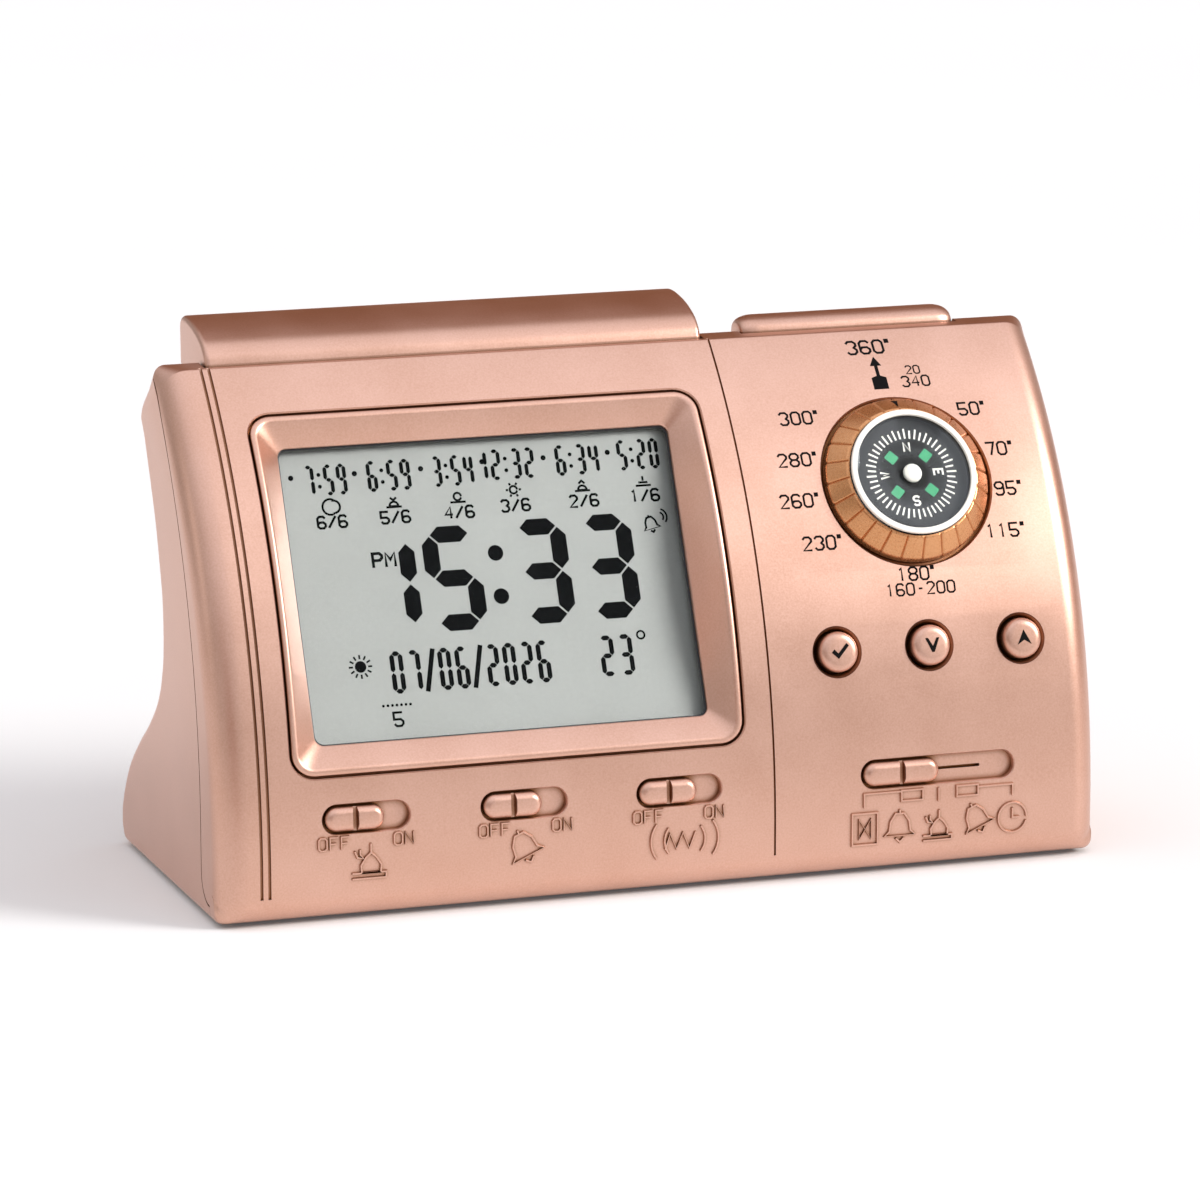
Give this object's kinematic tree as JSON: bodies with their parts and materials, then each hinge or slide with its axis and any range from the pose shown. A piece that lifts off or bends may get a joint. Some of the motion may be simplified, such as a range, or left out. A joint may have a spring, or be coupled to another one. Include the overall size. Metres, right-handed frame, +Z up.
{
  "type": "azan alarm clock with compass",
  "caption": "Leaning desk alarm clock: curved panel with recessed display, compass with turning ring, push buttons, slide switches, snooze bar on top and boot-shaped back with battery door.",
  "frame": {"origin": "centre of the footprint box, on the table", "axes": "+X to the right of someone who faces the clock, +Y to its back, +Z up; the panel faces -Y and leans back"},
  "size_m": [0.15, 0.0624, 0.0905],
  "materials": {
    "rose_paint": "satin rose-gold lacquer on moulded plastic",
    "rose_trim": "satin copper lacquer on moulded plastic",
    "clear_pane": "clear moulded pane",
    "lcd_grey": "reflective grey display",
    "white_plastic": "matte",
    "ivory": "satin ivory",
    "black_plastic": "matte",
    "dark_rubber": "matte",
    "board": "lacquered circuit board",
    "steel": "plain",
    "cell_label": "printed film",
    "paper": "felted paper"
  },
  "bodies": {
    "housing": {"front_casing": "rose_paint", "rear_casing": "rose_paint", "display_bezel": "rose_paint", "display_window": "clear_pane", "compass_lens": "clear_pane", "lcd_glass": "lcd_grey", "lcd_reflector": "white_plastic", "lcd_bracket": "white_plastic", "compass_collar": "ivory", "chip_cover": "black_plastic", "snooze_switch": "black_plastic", "press_pad_switch": "black_plastic", "set_switch": "black_plastic", "down_switch": "black_plastic", "up_switch": "black_plastic", "prayer_alarm_switch": "black_plastic", "daily_alarm_switch": "black_plastic", "snooze_mode_switch": "black_plastic", "set_mode_switch": "black_plastic", "compass_cup": "black_plastic", "contact_strip_upper": "dark_rubber", "contact_strip_lower": "dark_rubber", "foot_front_left": "dark_rubber", "foot_front_right": "dark_rubber", "foot_back_left": "dark_rubber", "foot_back_right": "dark_rubber", "main_board": "board", "top_board": "board", "key_board": "board", "slider_board": "board", "compass_pivot": "steel", "speaker_basket": "steel", "speaker_magnet": "steel", "contact_bridge": "steel", "contact_plus": "steel", "contact_minus": "steel", "back_screw_left": "steel", "back_screw_right": "steel", "base_screw_left": "steel", "base_screw_right": "steel", "battery_front": "cell_label", "battery_back": "cell_label", "speaker_cone": "paper"},
    "snooze_bar_body": {"snooze_bar": "rose_paint"},
    "press_pad_body": {"press_pad": "rose_paint"},
    "set_button_body": {"set_button": "rose_trim"},
    "down_button_body": {"down_button": "rose_trim"},
    "up_button_body": {"up_button": "rose_trim"},
    "prayer_alarm_slider_body": {"prayer_alarm_slider": "rose_trim"},
    "daily_alarm_slider_body": {"daily_alarm_slider": "rose_trim"},
    "snooze_mode_slider_body": {"snooze_mode_slider": "rose_trim"},
    "set_mode_slider_body": {"set_mode_slider": "rose_trim"},
    "compass_ring_body": {"compass_ring": "rose_paint"},
    "compass_card_body": {"compass_card": "black_plastic"},
    "battery_door_body": {"battery_door": "rose_paint"}
  },
  "joints": [
    {"name": "snooze_bar_press", "type": "slide", "parent": "housing", "child": "snooze_bar_body", "axis": [0, 0, -1], "range_m": [0, 0.0012], "stiffness_N_per_m": 1500, "springref_m": -0.0004},
    {"name": "press_pad_press", "type": "slide", "parent": "housing", "child": "press_pad_body", "axis": [0, 0, -1], "range_m": [0, 0.0012], "stiffness_N_per_m": 900, "springref_m": -0.0004},
    {"name": "set_press", "type": "slide", "parent": "housing", "child": "set_button_body", "axis": [0, 0.9632, -0.2689], "range_m": [0, 0.0008], "stiffness_N_per_m": 700, "springref_m": -0.0004},
    {"name": "down_press", "type": "slide", "parent": "housing", "child": "down_button_body", "axis": [0, 0.9632, -0.2689], "range_m": [0, 0.0008], "stiffness_N_per_m": 700, "springref_m": -0.0004},
    {"name": "up_press", "type": "slide", "parent": "housing", "child": "up_button_body", "axis": [0, 0.9632, -0.2689], "range_m": [0, 0.0008], "stiffness_N_per_m": 700, "springref_m": -0.0004},
    {"name": "prayer_alarm_slide", "type": "slide", "parent": "housing", "child": "prayer_alarm_slider_body", "axis": [1, 0, 0], "range_m": [0, 0.0039]},
    {"name": "daily_alarm_slide", "type": "slide", "parent": "housing", "child": "daily_alarm_slider_body", "axis": [1, 0, 0], "range_m": [0, 0.0039]},
    {"name": "snooze_mode_slide", "type": "slide", "parent": "housing", "child": "snooze_mode_slider_body", "axis": [1, 0, 0], "range_m": [0, 0.0039]},
    {"name": "set_mode_slide", "type": "slide", "parent": "housing", "child": "set_mode_slider_body", "axis": [1, 0, 0], "range_m": [0, 0.0129]},
    {"name": "compass_ring_turn", "type": "hinge", "parent": "housing", "child": "compass_ring_body", "pos_m": [0.0461, -0.01587, 0.06241], "axis": [0, -0.8581, 0.5135], "continuous": true},
    {"name": "compass_card_turn", "type": "hinge", "parent": "housing", "child": "compass_card_body", "pos_m": [0.0461, -0.01587, 0.06241], "axis": [0, -0.8581, 0.5135], "continuous": true},
    {"name": "battery_door_hinge", "type": "hinge", "parent": "housing", "child": "battery_door_body", "pos_m": [-0.021, 0.02621, 0.01241], "axis": [-1, 0, 0], "range_deg": [0, 80]}
  ]
}
